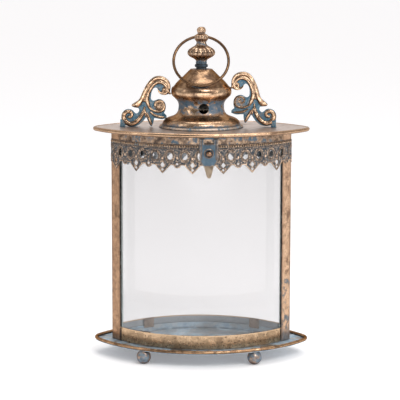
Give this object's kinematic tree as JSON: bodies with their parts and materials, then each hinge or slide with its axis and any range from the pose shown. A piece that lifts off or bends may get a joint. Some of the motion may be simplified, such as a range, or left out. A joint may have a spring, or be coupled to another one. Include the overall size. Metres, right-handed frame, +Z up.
{
  "type": "glass cloche",
  "caption": "Tabletop glass cloche: pointed-oval metal frame with curved panes, hinged lid with ventilated chimney, finial and carrying ring, front hasp, pierced gallery and ball feet.",
  "frame": {"origin": "on the ground under the middle of the base", "axes": "+Z up, +X to the right seen from the front, +Y to the hinge side at the back; the hasp is at -Y"},
  "size_m": [0.266, 0.1658, 0.405],
  "materials": {
    "copper": "antiqued copper, softly brushed",
    "rim_copper": "dark antiqued copper, worn bright on the crests",
    "polished_copper": "polished golden copper with blue-grey patina in the hollows",
    "patina": "blue-grey verdigris over copper, worn to copper at the edges",
    "post_copper": "mottled brown copper, blue-black low down",
    "light_brass": "light brass, satin",
    "glass": "clear float glass"
  },
  "bodies": {
    "body": {"base_rim_wire": "rim_copper", "base_tray": "patina", "bead_wire_back": "rim_copper", "bead_wire_front": "rim_copper", "foot_back_left": "patina", "foot_back_right": "patina", "foot_front_left": "patina", "foot_front_right": "patina", "gallery_back": "patina", "gallery_front": "patina", "glass_back": "glass", "glass_clip_back_left": "copper", "glass_clip_back_right": "copper", "glass_clip_front_left": "copper", "glass_clip_front_right": "copper", "glass_front": "glass", "glass_seat_back": "patina", "glass_seat_front": "patina", "glass_tab_back_left": "copper", "glass_tab_back_right": "copper", "glass_tab_front_left": "copper", "glass_tab_front_right": "copper", "hinge_leaf_case": "copper", "hinge_pin": "light_brass", "lower_band_back": "copper", "lower_band_front": "copper", "pane_retainer_left": "patina", "pane_retainer_right": "patina", "post_left": "post_copper", "post_right": "post_copper", "upper_band_back": "copper", "upper_band_front": "copper"},
    "lid": {"lid_plate": "copper", "lid_rim_wire": "rim_copper", "hinge_leaf_lid": "copper", "chimney_ring": "patina", "chimney_bell": "polished_copper", "chimney_dome": "polished_copper", "finial": "copper", "finial_collar": "patina", "finial_washer": "light_brass", "finial_screw": "light_brass", "scroll_left": "patina", "scroll_right": "patina", "hasp_bracket": "patina", "hasp_pin": "light_brass"},
    "hasp": {"hasp_leaf": "patina", "hasp_knob": "polished_copper"},
    "ring": {"carry_ring": "light_brass"}
  },
  "joints": [
    {"name": "lid_hinge", "type": "hinge", "parent": "body", "child": "lid", "pos_m": [0, 0.0628, 0.2768], "axis": [-1, 0, 0], "range_deg": [0, 95]},
    {"name": "hasp_hinge", "type": "hinge", "parent": "lid", "child": "hasp", "pos_m": [0.01033, -0.06451, 0.2768], "axis": [-0.9971, -0.0761, 0], "range_deg": [0, 75]},
    {"name": "ring_swing", "type": "hinge", "parent": "lid", "child": "ring", "pos_m": [0, 0, 0.3933], "axis": [-1, 0, 0], "range_deg": [0, 298]}
  ]
}
